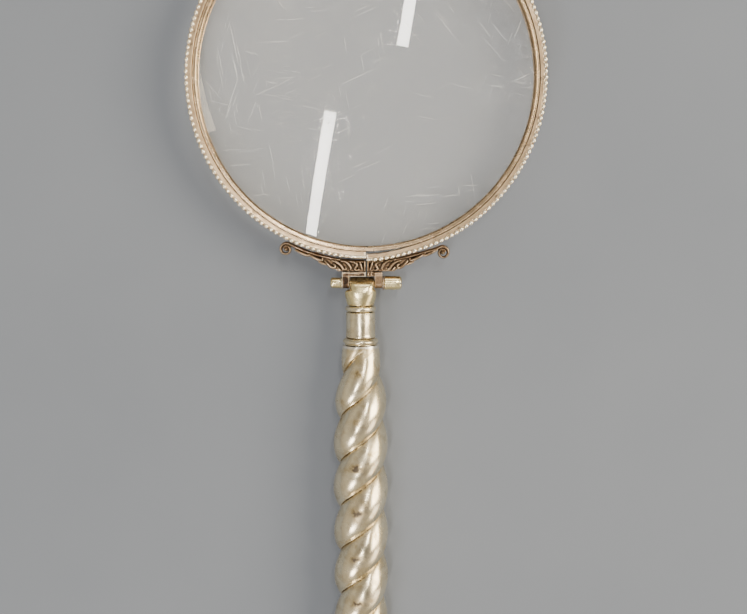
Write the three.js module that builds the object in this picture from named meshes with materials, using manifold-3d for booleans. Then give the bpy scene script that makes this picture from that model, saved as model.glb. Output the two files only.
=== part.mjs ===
// Magnifying glass with a hinged, clamp-closed lens ring and a rope-twist handle.
// Millimetres. The lens axis is +Z, the handle runs along -Y, and the glass lies on its back.
// Everything is laid out from the centre of the lens ring, and the whole group is moved at
// the end so that the origin is the bottom centre of its bounding box.
import * as THREE from "three";
import { mergeVertices } from "three/addons/utils/BufferGeometryUtils.js";
import Module from "manifold-3d";

const wasm = await Module();
wasm.setup();

// ---------------------------------------------------------------- driving dimensions
const GAP = 0.15; // clearance between pieces that sit against each other

// lens
const LENS_R = 50.3; // edge radius
const LENS_EDGE = 2.0; // edge thickness
const LENS_CURVE = 262; // radius of each spherical face

// ring
const RING_SEG = 56;
const BEZEL_IN = 49.0; // inner edge of the two retaining rims
const BEZEL_OUT = 50.55;
const BEZEL_TOP = 3.05; // outer face of each rim, from the lens plane
const BAND_IN = 50.72;
const BAND_OUT = 51.95;
const BAND_HALF = 3.35; // half the depth of the hoop
const BEAD_R = 0.58; // beaded wires soldered round the hoop's two edges
const BEAD_RING = 52.42; // radius of the wires' centre line
const BEAD_Z = 3.2;
const SPLIT = 0.32; // saw cut through the hoop at the bottom

// hub
const AXIS_Y = -60.2; // the clamp screw's axis
const HANDLE_X = -1.7; // the handle stands a little left of the ring's centre
const EYE_X = [-4.9, 2.4]; // the knuckle between the two ears
const SHANK_R = 0.9;
const BORE_R = 1.12;
const LUG_R = 1.7;
const EAR_L = [-7.2, -5.05];
const EAR_R = [2.55, 4.75];
const FOOT_Y = [-56.85, -58.15]; // top and bottom of the ears' feet
const NUT_R = 1.65;
const NUT_X = [-10.75, -7.7];
const HEAD_R = 2.08;
const HEAD_X = [5.42, 10.65];

// stem
const CUP_TOP = -62.2;
const CUP_LOW = -66.9;
const COLLAR = [-67.1, -68.75];
const FERRULE = [-68.95, -76.55];
const BEAD = [-76.75, -78.75];
const TANG_R = 1.6;
const TANG_BORE = 1.85;
const TANG = [-64.6, -142];

// handle
const HANDLE = [-78.95, -192];
const LEAD = 27.7; // two strands, so the creases come every half of this
const CREASE_AT = -87.1; // a crease crosses the left-hand outline here
const END_COLLAR = [-192.2, -194.6];
const END_CAP = [-194.8, -201];

// ---------------------------------------------------------------- helpers
const V2 = (x, y) => new THREE.Vector2(x, y);

function bare(geometry) {
  const g = geometry.clone();
  g.deleteAttribute("normal");
  g.deleteAttribute("uv");
  const merged = mergeVertices(g, 1e-4);
  const p = merged.attributes.position;
  const index = Array.from(merged.index.array);
  const kept = [];
  let volume = 0;
  const a = new THREE.Vector3(), b = new THREE.Vector3(), c = new THREE.Vector3();
  for (let i = 0; i < index.length; i += 3) {
    const [i0, i1, i2] = index.slice(i, i + 3);
    if (i0 === i1 || i1 === i2 || i0 === i2) continue;
    kept.push(i0, i1, i2);
    a.fromBufferAttribute(p, i0);
    b.fromBufferAttribute(p, i1);
    c.fromBufferAttribute(p, i2);
    volume += a.dot(b.cross(c)) / 6;
  }
  if (volume < 0) for (let i = 0; i < kept.length; i += 3) [kept[i], kept[i + 1]] = [kept[i + 1], kept[i]];
  merged.setIndex(kept);
  return merged;
}

function solid(geometry) {
  const g = bare(geometry);
  return new wasm.Manifold(
    new wasm.Mesh({
      numProp: 3,
      vertProperties: new Float32Array(g.attributes.position.array),
      triVerts: new Uint32Array(g.index.array),
    }),
  );
}

function fromSolid(manifold) {
  const mesh = manifold.getMesh();
  const g = new THREE.BufferGeometry();
  g.setAttribute("position", new THREE.BufferAttribute(new Float32Array(mesh.vertProperties), 3));
  g.setIndex(new THREE.BufferAttribute(new Uint32Array(mesh.triVerts), 1));
  return g;
}

const cut = (geometry, ...tools) => fromSolid(tools.reduce((s, t) => s.subtract(solid(t)), solid(geometry)));
const join = (...pieces) => fromSolid(pieces.slice(1).reduce((s, t) => s.add(solid(t)), solid(pieces[0])));

// a profile turned about Y; it closes on itself
function turned(profile, segments = 24) {
  return new THREE.LatheGeometry([...profile, profile[0]].map(([r, y]) => V2(r, y)), segments);
}
// the same, with its axis along Z, for the ring
const ringTurned = (profile, segments = RING_SEG) => turned(profile, segments).rotateX(Math.PI / 2);
// the same, with its axis along X, for the clamp screw
const crossTurned = (profile, segments = 20) => turned(profile, segments).rotateZ(-Math.PI / 2);
// a flat outline in XY, drawn out along Z and centred on it
function plate(points, depth, bevel = 0) {
  const g = new THREE.ExtrudeGeometry(new THREE.Shape(points.map(([x, y]) => V2(x, y))), {
    depth: depth - 2 * bevel, bevelEnabled: bevel > 0, bevelThickness: bevel, bevelSize: bevel, bevelOffset: -bevel, bevelSegments: 1,
  });
  return g.translate(0, 0, -(depth - 2 * bevel) / 2);
}
// an outline in the YZ plane, drawn out from x0 to x1; points are [y, z]
function sidePlate(points, x0, x1) {
  const g = new THREE.ExtrudeGeometry(new THREE.Shape(points.map(([y, z]) => V2(-z, y))), { depth: x1 - x0, bevelEnabled: false });
  return g.rotateY(Math.PI / 2).translate(x0, 0, 0);
}
const box = (x0, x1, y0, y1, z0, z1) =>
  new THREE.BoxGeometry(x1 - x0, y1 - y0, z1 - z0).translate((x0 + x1) / 2, (y0 + y1) / 2, (z0 + z1) / 2);
const rod = (r, x0, x1, segments = 20) =>
  new THREE.CylinderGeometry(r, r, x1 - x0, segments).rotateZ(Math.PI / 2).translate((x0 + x1) / 2, 0, 0);
const post = (r, y0, y1, segments = 24) =>
  new THREE.CylinderGeometry(r, r, y1 - y0, segments).translate(0, (y0 + y1) / 2, 0);

const SILVER = { color: 0xcfc8b8, roughness: 0.28, metalness: 1 };
const ROSE = { color: 0xb99a7c, roughness: 0.35, metalness: 1 };
const BRASS = { color: 0xd8c07a, roughness: 0.35, metalness: 1 };
const BRONZE = { color: 0x6d5842, roughness: 0.45, metalness: 1 };
const STEEL = { color: 0x8f8f8c, roughness: 0.4, metalness: 1 };
const PITCH = { color: 0x3a2c22, roughness: 0.8, metalness: 0 };
const GLASS = { color: 0xe8f0f0, roughness: 0.05, metalness: 0, transparent: true, opacity: 0.35 };

function piece(name, geometry, finish) {
  const mesh = new THREE.Mesh(bare(geometry), new THREE.MeshStandardMaterial(finish));
  mesh.name = name;
  return mesh;
}

const head = new THREE.Group();
const hub = new THREE.Group();
const handle = new THREE.Group();

// ---------------------------------------------------------------- lens
{
  const sag = (r) => LENS_CURVE - Math.sqrt(LENS_CURVE ** 2 - r ** 2);
  const crown = LENS_EDGE / 2 + sag(LENS_R);
  const front = [];
  const rs = [0, 12, 24, 34, 43, LENS_R];
  for (const r of rs) front.push([r, crown - sag(r)]);
  const back = front.map(([r, z]) => [r, -z]).reverse();
  const points = [...front, ...back].map(([r, z]) => V2(r, z));
  head.add(piece("lens", new THREE.LatheGeometry(points, RING_SEG).rotateX(Math.PI / 2), GLASS));
}

// ---------------------------------------------------------------- retaining rims, front and back of the glass
{
  // z of the lens face at a radius, so that each rim follows the glass
  const face = (r) => LENS_EDGE / 2 + (LENS_CURVE - Math.sqrt(LENS_CURVE ** 2 - r ** 2)) * -1 + (LENS_CURVE - Math.sqrt(LENS_CURVE ** 2 - LENS_R ** 2));
  const rim = [
    [BEZEL_IN, face(BEZEL_IN) + GAP],
    [LENS_R, face(LENS_R) + GAP],
    [BEZEL_OUT, LENS_EDGE / 2 + GAP],
    [BEZEL_OUT, BEZEL_TOP - 0.35],
    [BEZEL_OUT - 0.35, BEZEL_TOP],
    [BEZEL_IN + 0.45, BEZEL_TOP],
    [BEZEL_IN, BEZEL_TOP - 0.55],
  ];
  head.add(piece("front_rim", ringTurned(rim.map(([r, z]) => [r, z])), ROSE));
  head.add(piece("back_rim", ringTurned(rim.map(([r, z]) => [r, -z])), ROSE));
}

// ---------------------------------------------------------------- split hoop and its two beaded wires
const slot = () => box(-SPLIT / 2, SPLIT / 2, -60, -40, -10, 10);
{
  const band = [
    [BAND_IN, -BAND_HALF + 0.2],
    [BAND_IN + 0.2, -BAND_HALF],
    [BAND_OUT - 0.25, -BAND_HALF],
    [BAND_OUT, -BAND_HALF + 0.25],
    [BAND_OUT, BAND_HALF - 0.25],
    [BAND_OUT - 0.25, BAND_HALF],
    [BAND_IN + 0.2, BAND_HALF],
    [BAND_IN, BAND_HALF - 0.2],
  ];
  head.add(piece("split_band", cut(ringTurned(band), slot()), ROSE));
  const wire = (z) => {
    const section = [];
    for (let i = 0; i < 6; i++) {
      const a = (i * Math.PI) / 3 + Math.PI / 6;
      section.push([BEAD_RING + 0.05 + BEAD_R * Math.cos(a) * 0.9, z + BEAD_R * Math.sin(a)]);
    }
    // the wire is flattened where it is soldered to the hoop
    return section.map(([r, zz]) => [Math.max(r, BAND_OUT + 0.05), zz]);
  };
  head.add(piece("front_bead_wire", cut(ringTurned(wire(BEAD_Z)), slot()), SILVER));
  head.add(piece("back_bead_wire", cut(ringTurned(wire(-BEAD_Z)), slot()), SILVER));
}

// ---------------------------------------------------------------- scroll brackets
// Each is a casting that follows the hoop from the saw cut out to a volute.
const BRACKET_IN = 53.25; // clear of the beaded wires
function bracket(side) {
  const arc = [];
  const start = Math.asin(0.25 / BRACKET_IN);
  const end = 0.445; // angle from straight down, radians
  for (let i = 0; i <= 14; i++) {
    const t = start + ((end - start) * i) / 14;
    arc.push([BRACKET_IN * Math.sin(t), -BRACKET_IN * Math.cos(t)]);
  }
  const volute = [];
  const cx = 23.3, cy = -49.75, r = 2.15;
  for (let i = 0; i <= 8; i++) {
    const a = 1.0 - (i * 3.6) / 8;
    volute.push([cx + r * Math.cos(a), cy + r * Math.sin(a)]);
  }
  const under = [[20.9, -50.25], [19.8, -50.55], [16.7, -52.0], [13.6, -53.7], [10.5, -55.9], [8.4, -56.72], [0.25, -56.72]];
  const outline = [...arc, ...volute, ...under].map(([x, y]) => [side * x, y]);
  return plate(outline, 5.6, 0.4);
}
head.add(piece("left_scroll_bracket", bracket(-1), BRONZE));
head.add(piece("right_scroll_bracket", bracket(1), BRONZE));

// ---------------------------------------------------------------- ears: a foot under each bracket and a lug beside the knuckle
function ear(x0, x1, foot0, foot1) {
  const side = [];
  side.push([FOOT_Y[0], -3.1], [FOOT_Y[0], 3.1], [FOOT_Y[1] + 0.1, 3.1]);
  for (let i = 0; i <= 8; i++) {
    const a = Math.PI / 2 + (i * Math.PI) / 8 - Math.PI / 2;
    side.push([AXIS_Y - LUG_R * Math.sin(a), LUG_R * Math.cos(a)]);
  }
  side.push([FOOT_Y[1] + 0.1, -3.1]);
  const lug = sidePlate(side, x0, x1);
  const foot = box(foot0, foot1, FOOT_Y[1], FOOT_Y[0], -3.1, 3.1);
  return cut(join(lug, foot), rod(BORE_R, x0 - 1, x1 + 1).translate(0, AXIS_Y, 0));
}
head.add(piece("left_ear", ear(EAR_L[0], EAR_L[1], -7.2, -0.2), ROSE));
head.add(piece("right_ear", ear(EAR_R[0], EAR_R[1], 0.2, 4.75), BRONZE));

// ---------------------------------------------------------------- clamp screw, nut and washers
{
  const nut = crossTurned([
    [BORE_R - 0.12, NUT_X[0] + 1.0], [BORE_R - 0.12, NUT_X[1]], [NUT_R, NUT_X[1]],
    [NUT_R, NUT_X[0] + 0.3], [NUT_R - 0.3, NUT_X[0]], [0.55, NUT_X[0]], [0.55, NUT_X[0] + 1.0],
  ], 24);
  head.add(piece("clamp_nut", nut.translate(0, AXIS_Y, 0), BRASS));
  const washer = (x0, x1, r) => crossTurned([[BORE_R, x0], [BORE_R, x1], [r, x1], [r, x0]], 24).translate(0, AXIS_Y, 0);
  head.add(piece("nut_washer", washer(NUT_X[1] + 0.12, EAR_L[0] - 0.1, 1.9), BRASS));
  hub.add(piece("screw_washer", washer(EAR_R[1] + 0.12, HEAD_X[0] - 0.12, 2.2), BRONZE));
  const headEnd = HEAD_X[1];
  const body = new THREE.LatheGeometry([
    [0, NUT_X[0] + 1.35], [SHANK_R - 0.2, NUT_X[0] + 1.35], [SHANK_R, NUT_X[0] + 1.6], [SHANK_R, HEAD_X[0]],
    [HEAD_R - 0.15, HEAD_X[0]], [HEAD_R, HEAD_X[0] + 0.2], [HEAD_R, headEnd - 0.45], [HEAD_R - 0.45, headEnd], [0, headEnd],
  ].map(([r, y]) => V2(r, y)), 24).rotateZ(-Math.PI / 2).translate(0, AXIS_Y, 0);
  // a screwdriver slot across the head
  const driver = box(headEnd - 0.7, headEnd + 1, AXIS_Y - 0.3, AXIS_Y + 0.3, -3, 3);
  hub.add(piece("clamp_screw", cut(body, driver), BRASS));
}

// ---------------------------------------------------------------- knuckle: an eye on a faceted cup
{
  const eye = [];
  for (let i = 0; i <= 10; i++) {
    const a = (i * Math.PI) / 10;
    eye.push([AXIS_Y + 1.75 * Math.sin(a), 1.75 * Math.cos(a)]);
  }
  eye.push([CUP_TOP + 0.5, -3.5], [CUP_TOP - 0.5, -3.7], [CUP_TOP - 0.5, 3.7], [CUP_TOP + 0.5, 3.5]);
  const eyeSolid = sidePlate(eye, EYE_X[0], EYE_X[1]);
  // the cup is filed to sixteen flats
  const cupSolid = new THREE.LatheGeometry([[0, CUP_TOP], [4.1, CUP_TOP], [4.8, CUP_TOP - 0.7], [4.75, CUP_TOP - 2.2], [4.3, CUP_LOW + 0.5], [4.0, CUP_LOW], [0, CUP_LOW]].map(([r, y]) => V2(r, y)), 16)
    .rotateY(Math.PI / 16).translate(HANDLE_X, 0, 0);
  const shape = join(cupSolid, eyeSolid);
  const cross = rod(BORE_R, EYE_X[0] - 2, EYE_X[1] + 2).translate(0, AXIS_Y, 0);
  const socket = post(TANG_BORE, CUP_LOW - 1, TANG[0] + 0.2).translate(HANDLE_X, 0, 0);
  handle.add(piece("knuckle", cut(shape, cross, socket), BRASS));
}

// ---------------------------------------------------------------- stem rings
const stem = (name, profile, finish, segments = 28) => handle.add(piece(name, turned(profile, segments).translate(HANDLE_X, 0, 0), finish));
stem("upper_collar", [
  [TANG_BORE, COLLAR[0]], [4.3, COLLAR[0]], [4.62, COLLAR[0] - 0.4], [4.62, COLLAR[1] + 0.4], [4.3, COLLAR[1]], [TANG_BORE, COLLAR[1]],
], SILVER);
stem("ferrule", [
  [3.3, FERRULE[0]], [4.38, FERRULE[0]], [4.38, FERRULE[1]], [3.3, FERRULE[1]],
], SILVER);
stem("lower_collar", [
  [TANG_BORE, BEAD[0]], [4.6, BEAD[0]], [5.2, BEAD[0] - 0.4], [5.42, BEAD[0] - 0.95], [5.2, BEAD[1] + 0.45], [4.7, BEAD[1]], [TANG_BORE, BEAD[1]],
], SILVER);

// ---------------------------------------------------------------- tang and the pitch that sets it in the handle
handle.add(piece("tang_rod", new THREE.CylinderGeometry(TANG_R, TANG_R, TANG[0] - TANG[1], 16).translate(HANDLE_X, (TANG[0] + TANG[1]) / 2, 0), STEEL));
const CORE = [[3.3, HANDLE[0] - 0.4], [3.3, -86], [6.0, -102], [6.0, -176], [4.2, -188]];
{
  const core = [[0, TANG[1] - 0.3], [TANG_BORE, TANG[1] - 0.3], [TANG_BORE, CORE[0][1]], ...CORE, [0, CORE[4][1]]];
  handle.add(piece("handle_filling", new THREE.LatheGeometry(core.map(([r, y]) => V2(r, y)), 24).translate(HANDLE_X, 0, 0), PITCH));
}

// ---------------------------------------------------------------- twisted handle shell
// radius of the crests along the handle
const CREST = [[-78.95, 5.5], [-81, 5.75], [-84, 6.1], [-88, 6.75], [-92, 7.3], [-97, 7.8], [-104, 8.15], [-112, 8.3], [-140, 8.35], [-170, 8.2], [-182, 7.7], [-188, 7.0], [-192, 6.3]];
function along(table, y) {
  for (let i = 1; i < table.length; i++) {
    const [y0, r0] = table[i - 1], [y1, r1] = table[i];
    if (y >= y1) return r0 + ((r1 - r0) * (y - y0)) / (y1 - y0);
  }
  return table[table.length - 1][1];
}
{
  const length = HANDLE[0] - HANDLE[1];
  const rows = 40, around = 20;
  const shell = new THREE.CylinderGeometry(1, 1, length, around, rows).translate(0, (HANDLE[0] + HANDLE[1]) / 2, 0);
  const p = shell.attributes.position;
  for (let i = 0; i < p.count; i++) {
    const x = p.getX(i), y = p.getY(i), z = p.getZ(i);
    const rho = Math.hypot(x, z);
    if (rho < 0.5) continue; // the middle of an end face
    const theta = Math.atan2(z, x);
    // the strands climb from left to right across the front
    const turn = (2 * Math.PI * (y - CREASE_AT)) / LEAD;
    const phase = theta + turn - Math.PI;
    const crest = along(CREST, y);
    const fade = Math.min(1, (HANDLE[0] - y) / 4, (y - HANDLE[1]) / 5);
    const depth = 0.17 * crest * Math.max(fade, 0);
    const r = crest - depth * (1 - Math.sqrt(Math.abs(Math.sin(phase))));
    p.setXYZ(i, r * Math.cos(theta), y, r * Math.sin(theta));
  }
  const bore = new THREE.LatheGeometry([[0, HANDLE[0] + 1], [3.5, HANDLE[0] + 1], [3.5, -86], [6.2, -102], [6.2, -176.2], [4.4, -188.3], [0, -188.3]].map(([r, y]) => V2(r, y)), 24);
  handle.add(piece("handle_shell", cut(shell, bore).translate(HANDLE_X, 0, 0), SILVER));
}

// ---------------------------------------------------------------- end of the handle
stem("end_collar", [
  [2.2, END_COLLAR[0]], [6.4, END_COLLAR[0]], [7.2, END_COLLAR[0] - 0.5], [7.4, END_COLLAR[0] - 1.2], [7.2, END_COLLAR[1] + 0.5], [6.6, END_COLLAR[1]], [2.2, END_COLLAR[1]],
], SILVER);
handle.add(piece("end_cap", new THREE.LatheGeometry([
  [0, END_COLLAR[0] + 0.05], [1.9, END_COLLAR[0] + 0.05], [1.9, END_CAP[0]], [6.5, END_CAP[0]], [6.6, END_CAP[0] - 1.6], [6.0, END_CAP[0] - 3.4], [4.8, END_CAP[0] - 4.9], [3.2, END_CAP[1]], [0, END_CAP[1]],
].map(([r, y]) => V2(r, y)), 32).translate(HANDLE_X, 0, 0), SILVER));

// ---------------------------------------------------------------- whole object
const magnifying_glass = new THREE.Group();
magnifying_glass.name = "magnifying_glass";
magnifying_glass.add(head, hub, handle);
const bounds = new THREE.Box3().setFromObject(magnifying_glass);
magnifying_glass.position.set(-(bounds.min.x + bounds.max.x) / 2, -(bounds.min.y + bounds.max.y) / 2, -bounds.min.z);

export default magnifying_glass;
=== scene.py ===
import math

import bpy
import bmesh
import numpy as np
from mathutils import Matrix, Vector

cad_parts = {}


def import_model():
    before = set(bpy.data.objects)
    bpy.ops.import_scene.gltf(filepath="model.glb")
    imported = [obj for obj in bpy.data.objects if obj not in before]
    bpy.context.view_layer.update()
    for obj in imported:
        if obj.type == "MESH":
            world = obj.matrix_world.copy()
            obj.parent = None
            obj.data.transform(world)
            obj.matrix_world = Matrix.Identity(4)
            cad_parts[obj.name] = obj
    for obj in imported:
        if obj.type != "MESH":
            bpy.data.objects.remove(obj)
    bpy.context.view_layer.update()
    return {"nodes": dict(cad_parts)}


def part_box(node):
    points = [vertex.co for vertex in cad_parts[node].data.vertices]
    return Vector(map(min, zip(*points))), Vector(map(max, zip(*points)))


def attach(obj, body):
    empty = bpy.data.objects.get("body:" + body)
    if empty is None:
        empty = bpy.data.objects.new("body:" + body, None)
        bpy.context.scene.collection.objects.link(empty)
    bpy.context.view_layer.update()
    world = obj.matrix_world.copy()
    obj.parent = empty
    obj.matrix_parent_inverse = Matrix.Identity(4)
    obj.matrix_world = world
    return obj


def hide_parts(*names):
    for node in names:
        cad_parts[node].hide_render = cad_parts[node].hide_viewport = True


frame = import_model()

MM = 0.001

# The layout is in millimetres from the centre of the lens ring: +X right, +Y up the glass, +Z out of its front.
_lo, _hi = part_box("lens")
ORIGIN = np.array([(_lo[i] + _hi[i]) / 2 for i in range(3)])

LENS_R, LENS_EDGE, LENS_CURVE = 50.3, 2.0, 262.0
BEZEL_IN, BEZEL_OUT, BEZEL_TOP = 49.0, 50.55, 3.05
BAND_IN, BAND_OUT, BAND_HALF = 50.72, 51.95, 3.35
AXIS_Y, HANDLE_X = -60.2, -1.7
HANDLE_TOP, HANDLE_END = -78.95, -192.0
LEAD, CREASE_AT = 27.7, -87.6


# ------------------------------------------------------------------ mesh helpers
def world(v):
    return np.asarray(v, float) * MM + ORIGIN


def piece(name, verts, faces, body, material, node=None, smooth=True, sharp=None, shift=(0, 0, 0)):
    """A mesh object from millimetre vertices."""
    me = bpy.data.meshes.new(name)
    me.from_pydata((world(np.asarray(verts, float) + np.array(shift))).tolist(), [], [tuple(int(i) for i in f) for f in faces])
    me.validate(verbose=False)
    bm = bmesh.new()
    bm.from_mesh(me)
    bmesh.ops.remove_doubles(bm, verts=bm.verts, dist=1e-7)
    bmesh.ops.recalc_face_normals(bm, faces=bm.faces)
    if bm.calc_volume(signed=True) < 0:
        bmesh.ops.reverse_faces(bm, faces=bm.faces)
    bm.to_mesh(me)
    bm.free()
    ob = bpy.data.objects.new(name, me)
    bpy.context.scene.collection.objects.link(ob)
    dress(ob, body, material, node, smooth, sharp)
    return ob


def dress(ob, body, material, node=None, smooth=True, sharp=None, rounds=10):
    me = ob.data
    me.materials.clear()
    me.materials.append(material)
    if smooth:
        me.shade_smooth()
        if sharp is not None:
            me.set_sharp_from_angle(angle=math.radians(sharp))
    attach(ob, body)
    if node:
        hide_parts(node)
    wear_and_shade_attributes(ob, rounds)


def wear_and_shade_attributes(ob, rounds=10):
    """Stores how raised (towards 1) or sunk (towards 0) each vertex is against its surroundings, for patina, rubbed
    edges, painted shade in hollows and painted highlights on crests.
    """
    me = ob.data
    n = len(me.vertices)
    co = np.zeros(n * 3)
    me.vertices.foreach_get("co", co)
    co = co.reshape(-1, 3)
    no = np.zeros(n * 3)
    me.vertices.foreach_get("normal", no)
    no = no.reshape(-1, 3)
    ed = np.zeros(len(me.edges) * 2, int)
    me.edges.foreach_get("vertices", ed)
    ed = ed.reshape(-1, 2)
    deg = np.bincount(ed.ravel(), minlength=n).astype(float)
    deg[deg == 0] = 1

    def spread(values):
        out = np.zeros_like(values)
        for a, b in ((0, 1), (1, 0)):
            for k in range(values.shape[1]):
                out[:, k] += np.bincount(ed[:, a], weights=values[ed[:, b], k], minlength=n)
        return out / deg[:, None]

    soft = co.copy()
    for _ in range(rounds):
        soft = 0.5 * soft + 0.5 * spread(soft)
    raised = ((co - soft) * no).sum(1)
    raised = raised[:, None]
    for _ in range(2):
        raised = 0.5 * raised + 0.5 * spread(raised)
    raised = raised[:, 0] / MM
    att = me.attributes.new("raised", "FLOAT", "POINT")
    att.data.foreach_set("value", raised.astype(np.float32))


def ring_faces(rows, cols, close_rows=False, close_cols=True, offset=0):
    """Quads over a rows x cols grid of vertices."""
    out = []
    for i in range(rows if close_rows else rows - 1):
        a, b = i * cols, ((i + 1) % rows) * cols
        for j in range(cols if close_cols else cols - 1):
            k = (j + 1) % cols
            out.append((offset + a + j, offset + a + k, offset + b + k, offset + b + j))
    return out


def rounded(points, radius=0.25, n=4, closed=True):
    """A 2-D outline with its corners rounded."""
    pts = [np.array(p[:2], float) for p in points]
    rad = [p[2] if len(p) > 2 else radius for p in points]
    out = []
    m = len(pts)
    for i, p in enumerate(pts):
        if not closed and i in (0, m - 1):
            out.append(p)
            continue
        a, b = pts[i - 1] - p, pts[(i + 1) % m] - p
        la, lb = np.linalg.norm(a), np.linalg.norm(b)
        if la < 1e-6 or lb < 1e-6:
            out.append(p)
            continue
        t = min(rad[i], 0.45 * la, 0.45 * lb)
        p0, p1 = p + a / la * t, p + b / lb * t
        for k in range(n + 1):
            s = k / n
            out.append((1 - s) ** 2 * p0 + 2 * s * (1 - s) * p + s**2 * p1)
    return np.array(out)


def dense(points, step, closed=True):
    """The same outline with extra points so that no edge is longer than step."""
    out = []
    m = len(points)
    for i in range(m if closed else m - 1):
        a, b = points[i], points[(i + 1) % m]
        k = max(1, int(math.ceil(np.linalg.norm(b - a) / step)))
        for j in range(k):
            out.append(a + (b - a) * j / k)
    if not closed:
        out.append(points[-1])
    return np.array(out)


def lathe(profile, seg, axis="y", closed=True, wobble=None):
    """Turns (radius, height) about an axis. A closed profile makes a ring; an open one starts and ends on the axis."""
    prof = np.asarray(profile, float)
    m = len(prof)
    ang = np.arange(seg) * 2 * math.pi / seg
    verts, faces = [], []

    def place(r, h, a):
        if axis == "y":
            return (r * math.cos(a), h, r * math.sin(a))
        if axis == "z":
            return (r * math.cos(a), r * math.sin(a), h)
        return (h, r * math.cos(a), r * math.sin(a))

    if closed:
        for i, (r, h) in enumerate(prof):
            for a in ang:
                d = wobble(a, i, r, h) if wobble else 0
                verts.append(place(r + d, h, a))
        faces = ring_faces(m, seg, close_rows=True)
        return verts, faces
    inner = prof[1:-1]
    for i, (r, h) in enumerate(inner):
        for a in ang:
            d = wobble(a, i, r, h) if wobble else 0
            verts.append(place(r + d, h, a))
    faces = ring_faces(len(inner), seg)
    s, e = len(verts), len(verts) + 1
    verts += [place(0, prof[0][1], 0), place(0, prof[-1][1], 0)]
    last = (len(inner) - 1) * seg
    for j in range(seg):
        k = (j + 1) % seg
        faces.append((s, k, j))
        faces.append((e, last + j, last + k))
    return verts, faces


def hoop(section_at, phis, closed=False):
    """Sweeps a closed (radial, z) section round the ring's centre; phi is measured from straight down, towards +X."""
    verts = []
    m = None
    for p in phis:
        s = section_at(p)
        m = len(s)
        for r, z in s:
            verts.append((r * math.sin(p), -r * math.cos(p), z))
    faces = ring_faces(len(phis), m, close_rows=closed)
    if not closed:
        faces.append(tuple(range(m)))
        faces.append(tuple(range(len(verts) - m, len(verts)))[::-1])
    return verts, faces


# ------------------------------------------------------------------ materials
def material(name):
    m = bpy.data.materials.new(name)
    m.use_nodes = True
    nt = m.node_tree
    nt.nodes.clear()
    out = nt.nodes.new("ShaderNodeOutputMaterial")
    bsdf = nt.nodes.new("ShaderNodeBsdfPrincipled")
    nt.links.new(bsdf.outputs[0], out.inputs[0])
    return m, nt, bsdf


class Nodes:
    def __init__(self, nt):
        self.nt = nt

    def new(self, kind, **props):
        n = self.nt.nodes.new(kind)
        for k, v in props.items():
            setattr(n, k, v)
        return n

    def link(self, a, b):
        self.nt.links.new(a, b)

    def coords(self):
        return self.new("ShaderNodeTexCoord").outputs["Object"]

    def mapping(self, scale=(1, 1, 1), rot=(0, 0, 0)):
        turn = self.new("ShaderNodeMapping")
        turn.inputs["Rotation"].default_value = rot
        self.link(self.coords(), turn.inputs["Vector"])
        m = self.new("ShaderNodeMapping")
        m.inputs["Scale"].default_value = scale
        self.link(turn.outputs[0], m.inputs["Vector"])
        return m.outputs[0]

    def noise(self, scale, detail=4.0, rough=0.55, vec=None, distortion=0.0):
        n = self.new("ShaderNodeTexNoise")
        n.inputs["Scale"].default_value = scale
        n.inputs["Detail"].default_value = detail
        n.inputs["Roughness"].default_value = rough
        n.inputs["Distortion"].default_value = distortion
        self.link(vec if vec is not None else self.coords(), n.inputs["Vector"])
        return n.outputs["Fac"]

    def ramp(self, fac, stops, ease="LINEAR"):
        r = self.new("ShaderNodeValToRGB")
        r.color_ramp.interpolation = ease
        el = r.color_ramp.elements
        while len(el) < len(stops):
            el.new(0.5)
        for e, (pos, col) in zip(el, stops):
            e.position = pos
            e.color = (*col, 1) if len(col) == 3 else col
        self.link(fac, r.inputs[0])
        return r.outputs[0]

    def range(self, value, a, b, c=0.0, d=1.0):
        r = self.new("ShaderNodeMapRange")
        r.inputs["From Min"].default_value = a
        r.inputs["From Max"].default_value = b
        r.inputs["To Min"].default_value = c
        r.inputs["To Max"].default_value = d
        self.link(value, r.inputs["Value"])
        return r.outputs[0]

    def math(self, op, a, b=None, clamp=False):
        m = self.new("ShaderNodeMath", operation=op, use_clamp=clamp)
        for i, v in enumerate((a, b)):
            if v is None:
                continue
            if isinstance(v, (int, float)):
                m.inputs[i].default_value = v
            else:
                self.link(v, m.inputs[i])
        return m.outputs[0]

    def mix(self, fac, a, b):
        m = self.new("ShaderNodeMix", data_type="RGBA")
        for sock, v in ((m.inputs["Factor"], fac), (m.inputs["A"], a), (m.inputs["B"], b)):
            if isinstance(v, (int, float)):
                sock.default_value = v
            elif isinstance(v, tuple):
                sock.default_value = (*v, 1)
            else:
                self.link(v, sock)
        # the colour sockets carry their own A and B
        for nm, v in (("A", a), ("B", b)):
            s = [i for i in m.inputs if i.name == nm and i.type == "RGBA"][0]
            if isinstance(v, tuple):
                s.default_value = (*v, 1)
            elif not isinstance(v, (int, float)):
                self.link(v, s)
        f = [i for i in m.inputs if i.name == "Factor" and i.type == "VALUE"][0]
        if isinstance(fac, (int, float)):
            f.default_value = fac
        else:
            self.link(fac, f)
        return [o for o in m.outputs if o.type == "RGBA"][0]

    def raised(self):
        return self.new("ShaderNodeAttribute", attribute_name="raised").outputs["Fac"]

    def scratches(self, scale, rot, stretch=30.0, width=0.5):
        """Long fine lines, 0 to 1."""
        v = self.mapping(scale=(scale * stretch, scale, scale), rot=rot)
        n = self.noise(1.0, detail=3.0, rough=0.7, vec=v)
        return self.range(n, 0.62, 0.62 + 0.12 * width)

    def bump(self, height, strength, distance, normal=None):
        b = self.new("ShaderNodeBump")
        b.inputs["Strength"].default_value = strength
        b.inputs["Distance"].default_value = distance
        self.link(height, b.inputs["Height"])
        if normal is not None:
            self.link(normal, b.inputs["Normal"])
        return b.outputs[0]


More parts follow.
